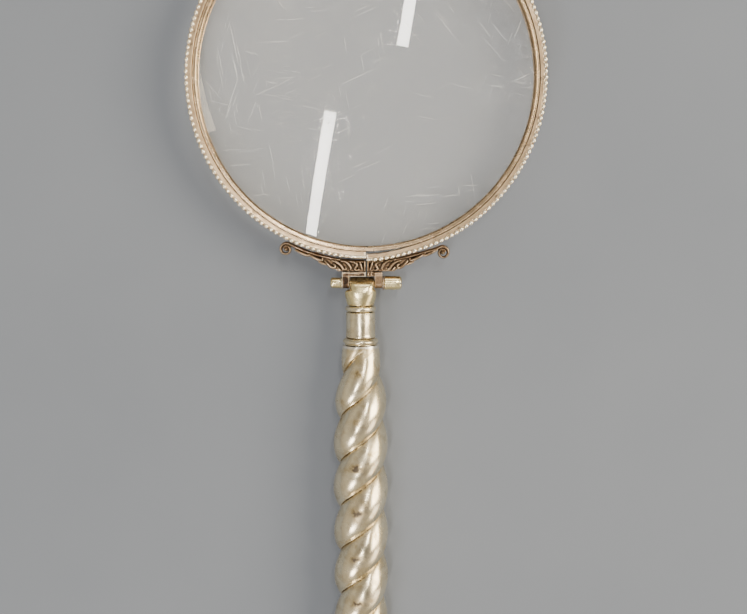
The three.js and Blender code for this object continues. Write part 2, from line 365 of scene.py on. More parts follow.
def old_metal(name, bright, mid, dark, rough=(0.16, 0.38), cavity=(-0.05, 0.02), edge=(0.03, 0.1), edge_col=None,
              spot=0.62, spot_amount=0.5, blotch=120.0, scratch=0.25, pit=0.15, dark_bias=0.0, dent=0.35, grime=(0.2, 0.25), stain_and_shade=False, amber=(0.55, 0.36, 0.19), mottle=0.0):
    """Metal whose hollows darken and whose edges are rubbed bright, with blotches, fine scratches and small pits. The
    hollow darkening is tarnish, and on the cast brackets and the brass pieces it is also painted shade; the bright
    edges are rubbed wear, and on the cast brackets they are also painted highlights.
    """
    m, nt, bsdf = material(name)
    N = Nodes(nt)
    big = N.noise(blotch, detail=5, rough=0.6)
    fine = N.noise(blotch * 7, detail=4, rough=0.65)
    hollow = N.range(N.raised(), cavity[1], cavity[0])
    ridge = N.range(N.raised(), edge[0], edge[1])
    spots = N.range(big, spot, spot + 0.12)
    spots = N.math("MULTIPLY", spots, spot_amount)
    grain = N.range(fine, 0.35, 0.75, -grime[0], grime[1])
    t = N.math("ADD", hollow, N.math("ADD", spots, grain))
    # The vertex attribute read here carries real tarnish spots and also painted shade, in the handle's creases and on
    # the knuckle's eye between the ears.
    if stain_and_shade:
        s0 = N.new("ShaderNodeAttribute", attribute_name="stain_and_shade").outputs["Fac"]
        ragged = N.range(N.noise(blotch * 5, detail=6, rough=0.75, distortion=0.5), 0.34, 0.66, -0.15, 1.35)
        faint = N.range(N.noise(blotch * 1.3, detail=3), 0.3, 0.7, 0.1, 0.5)
        t = N.math("ADD", t, N.math("ADD", N.math("MULTIPLY", s0, ragged), N.math("MULTIPLY", s0, faint)))
    t = N.math("ADD", t, dark_bias, clamp=True)
    tone = N.mix(N.range(big, 0.35, 0.65), bright, mid)
    if mottle:
        tone = N.mix(N.range(N.noise(blotch * 2.2, detail=5, rough=0.65, distortion=0.7), 0.48, 0.72, 0.0, mottle), tone, amber)
    col = N.mix(N.range(t, 0.0, 0.45), tone, amber)
    col = N.mix(N.range(t, 0.35, 1.0), col, dark)
    col = N.mix(ridge, col, edge_col or bright)
    N.link(col, bsdf.inputs["Base Color"])
    r = N.range(N.noise(blotch * 2.6, detail=3, rough=0.5), 0.3, 0.7, rough[0], rough[1])
    r = N.math("ADD", r, N.math("MULTIPLY", t, 0.34), clamp=True)
    N.link(r, bsdf.inputs["Roughness"])
    N.link(N.range(t, 0.3, 1.0, 1.0, 0.75), bsdf.inputs["Metallic"])
    s = N.math("ADD", N.scratches(60, (0.2, 0.4, 0.7)), N.scratches(45, (1.1, 0.3, 2.0)))
    s = N.math("MULTIPLY", s, -scratch)
    pits = N.math("MULTIPLY", N.range(N.noise(blotch * 16, detail=2), 0.66, 0.74), -pit)
    dents = N.math("MULTIPLY", N.noise(blotch * 1.7, detail=3), dent)
    h = N.math("ADD", N.math("ADD", s, pits), dents)
    N.link(N.bump(h, 0.55, 0.00004), bsdf.inputs["Normal"])
    return m


SILVER = old_metal("silver_plate_warm", (0.95, 0.85, 0.62), (0.87, 0.75, 0.51), (0.060, 0.036, 0.016), rough=(0.17, 0.30),
                   cavity=(-0.09, -0.012), edge=(0.05, 0.16), edge_col=(0.99, 0.93, 0.81), spot=0.60, spot_amount=0.2, blotch=130, scratch=0.12,
                   pit=0.03, dent=0.32, grime=(0.05, 0.08), stain_and_shade=True, amber=(0.56, 0.43, 0.23), mottle=0.72)
BEADS = old_metal("bead_silver", (0.92, 0.81, 0.58), (0.83, 0.70, 0.48), (0.05, 0.03, 0.018), rough=(0.20, 0.30),
                  cavity=(-0.04, 0.07), edge=(0.04, 0.12), edge_col=(0.98, 0.89, 0.71), spot=0.72, spot_amount=0.2, blotch=300, dent=0.1, pit=0.03,
                  amber=(0.45, 0.30, 0.17))
ROSE = old_metal("rose_brass_worn", (0.57, 0.41, 0.25), (0.43, 0.30, 0.175), (0.10, 0.06, 0.035), rough=(0.24, 0.40),
                 cavity=(-0.05, 0.0), edge=(0.015, 0.06), edge_col=(0.86, 0.70, 0.50), spot=0.58, spot_amount=0.4, blotch=200, dent=0.08, scratch=0.1, pit=0.04,
                 grime=(0.08, 0.14), amber=(0.32, 0.20, 0.11), mottle=0.45)
RIM = old_metal("rim_rubbed", (0.76, 0.56, 0.35), (0.64, 0.46, 0.28), (0.15, 0.085, 0.05), rough=(0.20, 0.30),
                cavity=(-0.04, -0.005), edge=(0.015, 0.05), edge_col=(0.94, 0.82, 0.62), spot=0.60, spot_amount=0.3, blotch=140, dent=0.08, scratch=0.1, pit=0.03,
                grime=(0.06, 0.08), amber=(0.50, 0.32, 0.18), mottle=0.3)
# On the cast brackets the black in the recesses is partly patina and partly painted shade, and the bright crests are
# partly rubbed wear and partly painted highlights.
BRONZE = old_metal("antique_bronze_cast", (0.54, 0.40, 0.27), (0.38, 0.27, 0.17), (0.012, 0.008, 0.006), rough=(0.24, 0.36),
                   cavity=(-0.12, 0.06), edge=(0.07, 0.20), edge_col=(0.95, 0.82, 0.64), spot=0.6, spot_amount=0.4, blotch=350, pit=0.1, dark_bias=0.05, dent=0.12,
                   grime=(0.1, 0.15), amber=(0.26, 0.17, 0.10))
# The hollow darkening on the brass pieces is partly tarnish and partly painted shade, set deep so that the gap where
# the knuckle's eye turns up between the ears reads dark.
BRASS = old_metal("yellow_brass_filed", (0.97, 0.84, 0.49), (0.91, 0.76, 0.40), (0.09, 0.06, 0.03), rough=(0.20, 0.29),
                  cavity=(-0.22, -0.08), edge=(0.03, 0.12), edge_col=(0.99, 0.92, 0.68), spot=0.62, spot_amount=0.25, blotch=220, scratch=0.10, pit=0.03,
                  dent=0.10, grime=(0.05, 0.08), stain_and_shade=True, amber=(0.62, 0.46, 0.22), mottle=0.35)
STEEL = old_metal("drawn_rod", (0.5, 0.5, 0.49), (0.42, 0.42, 0.41), (0.15, 0.11, 0.08), rough=(0.3, 0.45), blotch=200)


def pitch_material():
    m, nt, bsdf = material("setting_pitch")
    N = Nodes(nt)
    n = N.noise(400, detail=5)
    N.link(N.ramp(n, [(0.3, (0.02, 0.014, 0.01)), (0.7, (0.07, 0.05, 0.035))]), bsdf.inputs["Base Color"])
    N.link(N.range(n, 0.3, 0.7, 0.55, 0.85), bsdf.inputs["Roughness"])
    N.link(N.bump(n, 0.5, 0.0001), bsdf.inputs["Normal"])
    return m


def glass_material():
    m, nt, bsdf = material("scratched_glass")
    N = Nodes(nt)
    bsdf.inputs["IOR"].default_value = 1.5
    bsdf.inputs["Metallic"].default_value = 0.0
    # hairline scratches in several directions, in patches, with smudges and specks of dust
    lines = None
    for k, (sc, rot, gate_scale) in enumerate(((95, 0.35, 34), (70, 1.15, 27), (110, 1.75, 41), (60, 2.45, 23), (90, 2.95, 37), (80, 1.50, 30))):
        v = N.mapping(scale=(sc * 30, sc, sc), rot=(0, 0, rot))
        line = N.range(N.noise(1.0, detail=2.0, rough=0.5, vec=v), 0.665, 0.70)
        off = N.new("ShaderNodeVectorMath", operation="ADD")
        N.link(N.coords(), off.inputs[0])
        off.inputs[1].default_value = (0.31 * k, 0.17 * k, 0.05 * k)
        line = N.math("MULTIPLY", line, N.range(N.noise(gate_scale, detail=3, vec=off.outputs[0]), 0.54, 0.62))
        lines = line if lines is None else N.math("MAXIMUM", lines, line)
    smudge = N.range(N.noise(30, detail=7, rough=0.72, distortion=0.8), 0.50, 0.80)
    dust = N.range(N.noise(1900, detail=1), 0.76, 0.80)
    haze = N.math("ADD", N.math("MULTIPLY", smudge, 0.05), N.math("MULTIPLY", lines, 0.22))
    haze = N.math("ADD", haze, N.math("MULTIPLY", dust, 0.35))
    haze = N.math("ADD", haze, 0.012, clamp=True)
    N.link(N.range(haze, 0, 1, 1.0, 0.0), bsdf.inputs["Transmission Weight"])
    N.link(N.mix(N.range(haze, 0.0, 0.35), (0.89, 0.865, 0.82), (1.0, 0.985, 0.95)), bsdf.inputs["Base Color"])
    N.link(N.range(smudge, 0, 1, 0.0, 0.05), bsdf.inputs["Roughness"])
    N.link(N.bump(N.math("MULTIPLY", lines, -1.0), 0.10, 0.00002), bsdf.inputs["Normal"])
    return m


PITCH = pitch_material()
GLASS = glass_material()

# ------------------------------------------------------------------ lens
def sag(r):
    return LENS_CURVE - math.sqrt(LENS_CURVE**2 - r**2)


CROWN = LENS_EDGE / 2 + sag(LENS_R)
_rs = [50.2 * (i / 46) for i in range(47)]
_front = [(r, CROWN - sag(r)) for r in _rs] + [(50.27, LENS_EDGE / 2 - 0.02), (LENS_R, LENS_EDGE / 2 - 0.15)]
_prof = _front + [(r, -z) for r, z in reversed(_front)]
v, f = lathe(_prof, 256, "z", closed=False)
lens = piece("lens_glass", v, f, "lens_head", GLASS, "lens", sharp=40)
lens.visible_shadow = False


# ------------------------------------------------------------------ retaining rims
def unit_noise(a, k, seed):
    return math.sin(a * k + seed) * 0.5 + math.sin(a * k * 2.3 + seed * 1.7) * 0.3 + math.sin(a * k * 5.1 + seed * 2.9) * 0.2


def lens_face(r):
    return CROWN - sag(r)


_rim = rounded([
    (BEZEL_IN + 0.05, lens_face(BEZEL_IN) + 0.12, 0.05), (LENS_R, lens_face(LENS_R) + 0.12, 0.05), (BEZEL_OUT, LENS_EDGE / 2 + 0.15, 0.05),
    (BEZEL_OUT, BEZEL_TOP - 0.05, 0.25), (BEZEL_OUT - 0.42, BEZEL_TOP - 0.12, 0.2), (BEZEL_IN + 0.62, BEZEL_TOP, 0.45), (BEZEL_IN + 0.02, BEZEL_TOP - 0.75, 0.4),
], n=5)
_rim = dense(_rim, 0.22)
for nm, sgn in (("front_rim", 1), ("back_rim", -1)):
    sec = [(r, z * sgn) for r, z in _rim]
    v, f = hoop(lambda p, s=sec: [(r + 0.025 * unit_noise(p, 7, sgn), z + 0.03 * unit_noise(p, 5, sgn + 1) * sgn) for r, z in s],
                np.linspace(0, 2 * math.pi, 361)[:-1], closed=True)
    piece(nm + "_ring", v, f, "lens_head", RIM, nm, sharp=50)


# ------------------------------------------------------------------ split hoop and beaded wires
def step_out(p):
    """The hoop's right-hand end springs out by most of a millimetre at the saw cut."""
    return 0.8 * math.exp(-((p / 0.19) ** 2)) if p < math.pi else 0.0


_band = dense(rounded([
    (BAND_IN, -BAND_HALF, 0.15), (BAND_OUT, -BAND_HALF, 0.25), (BAND_OUT, -BAND_HALF + 1.15, 0.1), (BAND_OUT - 0.22, -BAND_HALF + 1.4, 0.15),
    (BAND_OUT - 0.22, BAND_HALF - 1.4, 0.15), (BAND_OUT, BAND_HALF - 1.15, 0.1), (BAND_OUT, BAND_HALF, 0.25), (BAND_IN, BAND_HALF, 0.15)], n=4), 0.35)
_cut = 0.16 / 52
_phis = np.concatenate([np.linspace(_cut, 0.6, 120), np.linspace(0.6, 2 * math.pi - 0.3, 520)[1:], np.linspace(2 * math.pi - 0.3, 2 * math.pi - _cut, 50)[1:]])
v, f = hoop(lambda p: [(r + step_out(p) + 0.02 * unit_noise(p, 9, 3), z) for r, z in _band], _phis)
piece("split_hoop", v, f, "lens_head", ROSE, "split_band", sharp=50)

BEAD_RING, BEAD_PITCH = 52.30, 1.69


def bead_row(name, node, z0, seed):
    count = int(round(2 * math.pi * BEAD_RING / BEAD_PITCH))
    per = 14
    phis = [_cut + (2 * math.pi - 2 * _cut) * i / (count * per) for i in range(count * per + 1)]
    rng = np.random.default_rng(seed)
    size = 1 + 0.05 * rng.standard_normal(count + 2)
    lift = 0.03 * rng.standard_normal(count + 2)

    def section(p):
        u = (p / (2 * math.pi)) * count
        k = int(u)
        t = (u - k - 0.5) * BEAD_PITCH
        R = 0.66 * size[k]
        r = math.sqrt(max(R * R - (t * 0.86) ** 2, 0.0))
        r = max(r, 0.30)
        # the beads are filed away just left of the cut, and start again just right of it
        left, right = (2 * math.pi - p) * 52, p * 52
        worn = max(0.0, 1 - max(left - 3.0, 0) / 4.5) if left < 8 else (max(0.0, 1 - max(right - 1.0, 0) / 1.2) if right < 2.4 else 0.0)
        r = r * (1 - worn) + 0.5 * worn
        c = BEAD_RING + step_out(p) + 0.02 * unit_noise(p, 9, 3)
        return [(c + r * math.cos(a), z0 + lift[k] * (1 - worn) + r * 0.92 * math.sin(a)) for a in np.arange(14) * 2 * math.pi / 14]

    v, f = hoop(section, phis)
    return piece(name, v, f, "lens_head", BEADS, node, sharp=None)


bead_row("front_bead_row", "front_bead_wire", 3.2, 11)
bead_row("back_bead_row", "back_bead_wire", -3.2, 12)


# ------------------------------------------------------------------ cast pieces: strokes and blocks fused into one skin
def tube_along(path, radii, flat=1.0, seg=12, closed_ends=True):
    """A tapering round tube along a curve given by a few points (Catmull-Rom), in millimetres. flat scales its depth."""
    P = np.array(path, float)
    R = np.array(radii, float)
    n = len(P)
    pts, rad = [], []
    ext = np.vstack([2 * P[0] - P[1], P, 2 * P[-1] - P[-2]])
    for i in range(n - 1):
        p0, p1, p2, p3 = ext[i], ext[i + 1], ext[i + 2], ext[i + 3]
        for k in range(8):
            t = k / 8
            pts.append(0.5 * ((2 * p1) + (-p0 + p2) * t + (2 * p0 - 5 * p1 + 4 * p2 - p3) * t**2 + (-p0 + 3 * p1 - 3 * p2 + p3) * t**3))
            rad.append(R[i] * (1 - t) + R[i + 1] * t)
    pts.append(P[-1])
    rad.append(R[-1])
    pts = np.array(pts)
    verts = []
    for i, p in enumerate(pts):
        d = pts[min(i + 1, len(pts) - 1)] - pts[max(i - 1, 0)]
        d = d / (np.linalg.norm(d) + 1e-9)
        side = np.cross(d, (0, 0, 1))
        side /= np.linalg.norm(side) + 1e-9
        up = np.cross(side, d)
        for a in np.arange(seg) * 2 * math.pi / seg:
            verts.append(p + rad[i] * (math.cos(a) * side + math.sin(a) * up * flat))
    faces = ring_faces(len(pts), seg)
    faces.append(tuple(range(seg))[::-1])
    faces.append(tuple(range(len(verts) - seg, len(verts))))
    return verts, faces


def prism(outline, z0, z1):
    m = len(outline)
    verts = [(x, y, z0) for x, y in outline] + [(x, y, z1) for x, y in outline]
    faces = [tuple(range(m))[::-1], tuple(range(m, 2 * m))]
    for i in range(m):
        j = (i + 1) % m
        faces.append((i, j, m + j, m + i))
    return verts, faces


def ball(c, r, flat=1.0, seg=16):
    prof = [(0, -r * flat)] + [(r * math.cos(a), r * flat * math.sin(a)) for a in np.linspace(-1.45, 1.45, 9)] + [(0, r * flat)]
    v, f = lathe(prof, seg, "z", closed=False)
    return [tuple(np.array(p) + np.array(c)) for p in v], f


def temp_mesh(parts):
    bm = bmesh.new()
    for v, f in parts:
        vs = [bm.verts.new(p) for p in v]
        for face in f:
            try:
                bm.faces.new([vs[i] for i in face])
            except ValueError:
                pass
    return bm


def cast(name, parts, voxel, smooth, body, mat, node, holes=(), sharp=None, shift=(0, 0, 0), rounds=30):
    """Fuses closed parts into one skin by voxel remeshing at millimetre scale, softens it, then cuts the holes."""
    bm = temp_mesh(parts)
    for fc in bm.faces:
        pass
    bmesh.ops.recalc_face_normals(bm, faces=bm.faces)
    me = bpy.data.meshes.new(name)
    bm.to_mesh(me)
    bm.free()
    ob = bpy.data.objects.new(name, me)
    bpy.context.scene.collection.objects.link(ob)
    rm = ob.modifiers.new("fuse", "REMESH")
    rm.mode = "VOXEL"
    rm.voxel_size = voxel
    if smooth:
        sm = ob.modifiers.new("soften", "SMOOTH")
        sm.factor = 0.5
        sm.iterations = smooth
    tools = []
    for hv, hf in holes:
        hb = temp_mesh([(hv, hf)])
        bmesh.ops.recalc_face_normals(hb, faces=hb.faces)
        hm = bpy.data.meshes.new(name + "_hole")
        hb.to_mesh(hm)
        hb.free()
        ho = bpy.data.objects.new(name + "_hole", hm)
        bpy.context.scene.collection.objects.link(ho)
        bo = ob.modifiers.new("cut", "BOOLEAN")
        bo.operation = "DIFFERENCE"
        bo.solver = "EXACT"
        bo.object = ho
        tools.append(ho)
    bpy.context.view_layer.update()
    dg = bpy.context.evaluated_depsgraph_get()
    made = bpy.data.meshes.new_from_object(ob.evaluated_get(dg))
    bpy.data.objects.remove(ob)
    for t in tools:
        bpy.data.objects.remove(t)
    n = len(made.vertices)
    co = np.zeros(n * 3)
    made.vertices.foreach_get("co", co)
    co = world(co.reshape(-1, 3) + np.array(shift))
    made.vertices.foreach_set("co", co.ravel())
    made.update()
    made.name = name
    ob = bpy.data.objects.new(name, made)
    bpy.context.scene.collection.objects.link(ob)
    dress(ob, body, mat, node, True, sharp, rounds)
    return ob


def on_ring(phi, r, z=0.0):
    return (r * math.sin(phi), -r * math.cos(phi), z)


def scroll_bracket(side):
    parts = []

    def S(points, radii, flat=1.0, z=0.0):
        parts.append(tube_along([(side * x, y, z if len(q) == 0 else q[0]) for x, y, *q in points], radii, flat))

    # spine that lies along the hoop and runs on into the outer curl, which winds in to a bead
    cx, cy = (22.9, -51.1) if side > 0 else (23.9, -50.1)
    away = math.atan2(-cy, -cx)
    far = math.hypot(cx, cy)
    last = math.atan2(cx, -cy)
    path, thick = [], []
    for a in np.linspace(0.012, last - 0.035, 14):
        w = max(0.0, (a - 0.30) / (last - 0.335))
        R = 53.82 * (1 - w * w) + (far - 1.85) * w * w
        path.append((R * math.sin(a), -R * math.cos(a)))
        thick.append(0.56 - 0.10 * math.sin(math.pi * min(1.0, a / 0.42)) ** 2)
    for i in range(18):
        a = away - math.radians(i * 27)
        r = 1.85 - 0.062 * i
        path.append((cx + r * math.cos(a), cy + r * math.sin(a)))
        thick.append(0.50 - 0.010 * i)
    S(path, thick, flat=3.6)
    parts.append(ball((side * cx, cy, 0.0), 0.68, 3.6))
    # back plate behind the leaves
    plate = [(0.14, -53.6), (6, -53.3), (11, -52.2), (15.5, -50.9), (15.0, -52.4), (12.6, -54.0), (10.2, -55.4), (8.2, -56.66), (0.14, -56.72)]
    parts.append(prism([(side * x, y) for x, y in plate], -1.0, 1.0))
    # leaves: each front and back stroke has a rounded crest and a curled tip
    for z in (1.55, -1.55):
        # long leaves that run out along the arm, the outermost ending in a small curl
        S([(21.2, -50.2, z), (19.6, -51.05, z), (18.0, -51.75, z), (17.0, -51.9, z), (16.7, -51.35, z)], [0.26, 0.40, 0.44, 0.36, 0.24], flat=2.1)
        S([(17.6, -51.3, z), (15.9, -52.3, z), (14.3, -53.1, z), (13.2, -53.3, z), (13.0, -52.6, z)], [0.24, 0.42, 0.46, 0.38, 0.24], flat=2.1)
        S([(14.2, -53.75, z), (12.9, -54.3, z), (11.9, -54.6, z)], [0.26, 0.42, 0.30], flat=2.1)
        # S-curled leaves hanging from the hoop, each with a rolled tip
        S([(12.4, -53.4, z), (11.6, -54.3, z), (10.5, -55.3, z), (9.5, -55.5, z), (9.3, -54.8, z), (9.9, -54.5, z)], [0.3, 0.46, 0.50, 0.46, 0.36, 0.26], flat=2.0)
        S([(10.4, -53.4, z), (8.9, -53.8, z), (7.6, -54.8, z), (6.9, -55.9, z), (6.1, -56.1, z), (6.0, -55.4, z)], [0.32, 0.46, 0.50, 0.46, 0.38, 0.26], flat=2.0)
        S([(8.6, -55.3, z), (8.1, -56.0, z), (7.7, -56.45, z)], [0.24, 0.36, 0.28], flat=2.0)
        S([(7.6, -53.5, z), (6.2, -53.7, z), (5.2, -54.6, z), (4.6, -55.7, z), (4.9, -56.3, z)], [0.32, 0.44, 0.48, 0.42, 0.28], flat=2.0)
        S([(4.9, -53.6, z), (3.6, -53.9, z), (2.8, -54.6, z), (3.1, -55.3, z), (3.4, -55.9, z), (2.8, -56.35, z), (2.1, -56.1, z)], [0.3, 0.42, 0.46, 0.46, 0.42, 0.36, 0.26], flat=2.0)
        # upright half of the middle palmette
        S([(1.95, -53.5, z), (1.65, -54.6, z), (1.2, -56.1, z)], [0.26, 0.40, 0.30], flat=2.1)
        S([(0.47, -53.5, z), (0.47, -55.0, z), (0.47, -56.4, z)], [0.28, 0.32, 0.28], flat=3.0)
    return parts


cast("left_scroll_casting", scroll_bracket(-1), 0.10, 2, "lens_head", BRONZE, "left_scroll_bracket")
cast("right_scroll_casting", scroll_bracket(1), 0.10, 2, "lens_head", BRONZE, "right_scroll_bracket")


# ------------------------------------------------------------------ ears
def rod_x(r, x0, x1, y, seg=32):
    v, f = lathe([(0, x0), (r, x0), (r, x1), (0, x1)], seg, "x", closed=False)
    return [(p[0], p[1] + y, p[2]) for p in v], f


def side_prism(outline_yz, x0, x1):
    m = len(outline_yz)
    verts = [(x0, y, z) for y, z in outline_yz] + [(x1, y, z) for y, z in outline_yz]
    faces = [tuple(range(m))[::-1], tuple(range(m, 2 * m))]
    for i in range(m):
        j = (i + 1) % m
        faces.append((i, j, m + j, m + i))
    return verts, faces


def box_part(x0, x1, y0, y1, z0, z1):
    return side_prism([(y0, z0), (y1, z0), (y1, z1), (y0, z1)], x0, x1)


def ear(name, node, x0, x1, fx0, fx1, mat, deep, strokes=()):
    outline = [(-56.9, -2.9), (-56.9, 2.9), (-58.0, 2.9)] + [(AXIS_Y - 1.66 * math.sin(a), 1.66 * math.cos(a)) for a in np.linspace(0, math.pi, 13)] + [(-58.0, -2.9)]
    parts = [side_prism(outline, x0, x1), box_part(fx0, fx1, -58.08, -56.84, -deep, deep)]
    for pts, rad in strokes:
        for z in (2.5, -2.5):
            parts.append(tube_along([(x, y, z) for x, y in pts], rad, 1.6))
    cast(name, parts, 0.08, 4, "lens_head", mat, node, holes=[rod_x(1.1, x0 - 1, x1 + 1, AXIS_Y)], sharp=55)


EAR_MAT = old_metal("ear_plate_copper", (0.50, 0.37, 0.24), (0.33, 0.23, 0.14), (0.03, 0.018, 0.012), rough=(0.24, 0.38),
                    cavity=(-0.06, 0.02), edge=(0.015, 0.07), edge_col=(0.88, 0.77, 0.60), spot=0.50, spot_amount=0.75, blotch=420, pit=0.25,
                    amber=(0.24, 0.15, 0.09), mottle=0.7)
ear("left_ear_plate", "left_ear", -7.2, -5.05, -7.2, -0.2, EAR_MAT, 2.8,
    [([(-7.0, -57.2), (-4.0, -57.25), (-1.6, -57.3)], [0.26, 0.28, 0.24]), ([(-0.48, -57.1), (-0.5, -57.8)], [0.24, 0.24])])
ear("right_ear_plate", "right_ear", 2.55, 4.75, 0.2, 4.75, BRONZE, 2.3,
    [([(0.52, -57.15), (0.7, -57.85)], [0.28, 0.28]), ([(1.25, -57.1), (1.55, -57.6), (2.1, -57.8)], [0.24, 0.30, 0.24]),
     ([(2.2, -57.1), (2.7, -57.35), (3.1, -57.8)], [0.22, 0.30, 0.24]), ([(3.3, -57.15), (3.9, -57.3), (4.2, -57.75)], [0.24, 0.30, 0.26])])

# ------------------------------------------------------------------ knuckle
def rounded_block(x0, x1, outline_yz):
    return side_prism(outline_yz, x0, x1)


# A lofted block: a rounded eye between the ears that swells into a square-fronted cup and rounds off on to the stem.
_loft = [  # height, centre x, half width, half depth, squareness
    (-58.50, -1.25, 3.45, 0.35, 6), (-58.56, -1.25, 3.55, 0.75, 6), (-58.68, -1.25, 3.6, 1.15, 7), (-59.05, -1.25, 3.6, 1.75, 8),
    (-59.36, -1.25, 3.6, 2.2, 8), (-59.62, -1.25, 3.6, 2.6, 8), (-59.92, -1.25, 3.6, 2.98, 7), (-60.14, -1.25, 3.6, 3.28, 6), (-60.4, -1.25, 3.6, 3.58, 5.5),
    (-60.85, -1.25, 3.6, 3.88, 5), (-61.4, -1.25, 3.6, 4.1, 4.5), (-62.02, -1.28, 3.62, 4.28, 4.2), (-62.16, -1.4, 4.0, 4.33, 3.8), (-62.4, -1.58, 4.42, 4.4, 3.4),
    (-62.8, -1.68, 4.68, 4.48, 3.0), (-63.4, -1.7, 4.74, 4.52, 2.8), (-64.3, -1.7, 4.62, 4.46, 2.5), (-65.3, -1.7, 4.38, 4.3, 2.25), (-66.2, -1.7, 4.14, 4.12, 2.05),
    (-66.7, -1.7, 4.03, 4.03, 2.0), (-66.85, -1.7, 3.9, 3.9, 2.0)]


def knuckle_mesh(seg=128):
    ys = np.array([r[0] for r in _loft])
    t = np.linspace(0, len(_loft) - 1, 120)
    rows = []
    for tt in t:
        rows.append([np.interp(tt, range(len(_loft)), [r[k] for r in _loft]) for k in range(5)])
    verts = []
    for y, cx, hx, hz, q in rows:
        for a in np.arange(seg) * 2 * math.pi / seg:
            c, sn = math.cos(a), math.sin(a)
            k = (abs(c) ** q + abs(sn) ** q) ** (-1 / q)
            verts.append((cx + hx * k * c, y, hz * k * sn))
    faces = ring_faces(len(rows), seg)
    faces.append(tuple(range(seg)))
    faces.append(tuple(range(len(verts) - seg, len(verts)))[::-1])
    return verts, faces


knuckle = cast("knuckle_block", [knuckle_mesh()], 0.09, 6, "handle", BRASS, "knuckle",
     holes=[rod_x(1.1, -8, 6, AXIS_Y)], sharp=60)
# painted shade darkens the eye where it turns up between the ears, and a thin darker band runs round the foot of the
# cup
_n = len(knuckle.data.vertices)
_co = np.zeros(_n * 3)
knuckle.data.vertices.foreach_get("co", _co)
_y = (_co.reshape(-1, 3)[:, 1] - ORIGIN[1]) / MM
_att = knuckle.data.attributes.new("stain_and_shade", "FLOAT", "POINT")
_att.data.foreach_set("value", (0.75 * np.clip((_y + 59.9) / 0.7, 0, 1) + 0.3 * np.exp(-(((_y + 66.6) / 0.35) ** 2))).astype(np.float32))

# ------------------------------------------------------------------ clamp screw, nut and washers
def lathe_piece(name, prof, seg, axis, body, mat, node, closed=True, shift=(0, 0, 0), step=0.3, r=0.2, sharp=50, wobble=None, n=4):
    p = dense(rounded(prof, r, n=n, closed=closed), step, closed=closed)
    v, f = lathe(p, seg, axis, closed=closed, wobble=wobble)
    return piece(name, v, f, body, mat, node, sharp=sharp, shift=shift)


lathe_piece("clamp_barrel_nut", [(1.0, -10.0, 0.05), (1.0, -7.72, 0.05), (1.62, -7.72, 0.12), (1.64, -9.3, 0.5), (1.6, -10.35, 0.2), (1.3, -10.72, 0.25), (0.62, -10.72, 0.08), (0.62, -10.0, 0.05)],
            64, "x", "lens_head", BRASS, "clamp_nut", shift=(0, AXIS_Y, 0), step=0.2,
            wobble=lambda a, i, r, h: 0.03 * math.sin(3 * a + h) if r > 1.2 else 0)
lathe_piece("nut_washer_ring", [(1.12, -7.56, 0.03), (1.12, -7.32, 0.03), (1.88, -7.32, 0.08), (1.88, -7.56, 0.08)], 64, "x", "lens_head", BRASS, "nut_washer", shift=(0, AXIS_Y, 0), step=0.15)
lathe_piece("screw_washer_ring", [(1.12, 4.9, 0.03), (1.12, 5.28, 0.03), (2.15, 5.28, 0.1), (2.15, 4.9, 0.1)], 64, "x", "washer", BRONZE, "screw_washer", shift=(0, AXIS_Y, 0), step=0.15)


def screw_mesh():
    prof, seg = [], 72
    h0 = -6.3
    zs = [h0 + 0.05 * i for i in range(int((5.35 - h0) / 0.05) + 1)]
    verts, faces = [], []
    rows = []
    for h in zs:
        fade = min(1, (h - h0) / 0.4)
        rows.append([(h, 0.89 - 0.13 * abs(((h / 0.5 - a / (2 * math.pi)) % 1) * 2 - 1) * (1 if h < 3.2 else 0) - 0.12 * (1 - fade)) for a in np.arange(seg) * 2 * math.pi / seg])
    head = dense(rounded([(0.9, 5.42, 0.02), (1.9, 5.42, 0.12), (2.05, 5.55, 0.1), (2.05, 8.9, 0.6), (1.98, 10.1, 0.3), (1.55, 10.6, 0.35), (0.7, 10.63, 0.2), (0.12, 10.63, 0.02)], 0.2, closed=False), 0.2, closed=False)
    for r, h in head:
        rows.append([(h, r + (0.025 * math.sin(2 * a + 1) if r > 1.5 else 0)) for a in np.arange(seg) * 2 * math.pi / seg])
    for row in rows:
        for (h, r), a in zip(row, np.arange(seg) * 2 * math.pi / seg):
            verts.append((h, r * math.cos(a), r * math.sin(a)))
    faces = ring_faces(len(rows), seg)
    s = len(verts)
    verts += [(h0, 0, 0), (10.63, 0, 0)]
    last = (len(rows) - 1) * seg
    for j in range(seg):
        k = (j + 1) % seg
        faces.append((s, k, j))
        faces.append((s + 1, last + j, last + k))
    return verts, faces


def cut_out(ob, holes):
    """Cuts millimetre solids out of a finished piece."""
    for v, f in holes:
        hb = temp_mesh([(v, f)])
        bmesh.ops.recalc_face_normals(hb, faces=hb.faces)
        hm = bpy.data.meshes.new("tool")
        hb.to_mesh(hm)
        hb.free()
        n = len(hm.vertices)
        co = np.zeros(n * 3)
        hm.vertices.foreach_get("co", co)
        hm.vertices.foreach_set("co", world(co.reshape(-1, 3)).ravel())
        ho = bpy.data.objects.new("tool", hm)
        bpy.context.scene.collection.objects.link(ho)
        bo = ob.modifiers.new("cut", "BOOLEAN")
        bo.operation, bo.solver, bo.object = "DIFFERENCE", "EXACT", ho
        bpy.context.view_layer.update()
        made = bpy.data.meshes.new_from_object(ob.evaluated_get(bpy.context.evaluated_depsgraph_get()))
        ob.modifiers.clear()
        ob.data = made
        bpy.data.objects.remove(ho)


v, f = screw_mesh()
screw = piece("clamp_screw_turned", v, f, "screw", BRASS, "clamp_screw", sharp=50, shift=(0, AXIS_Y, 0))
cut_out(screw, [box_part(9.95, 12, AXIS_Y - 0.28, AXIS_Y + 0.28, -3, 3)])

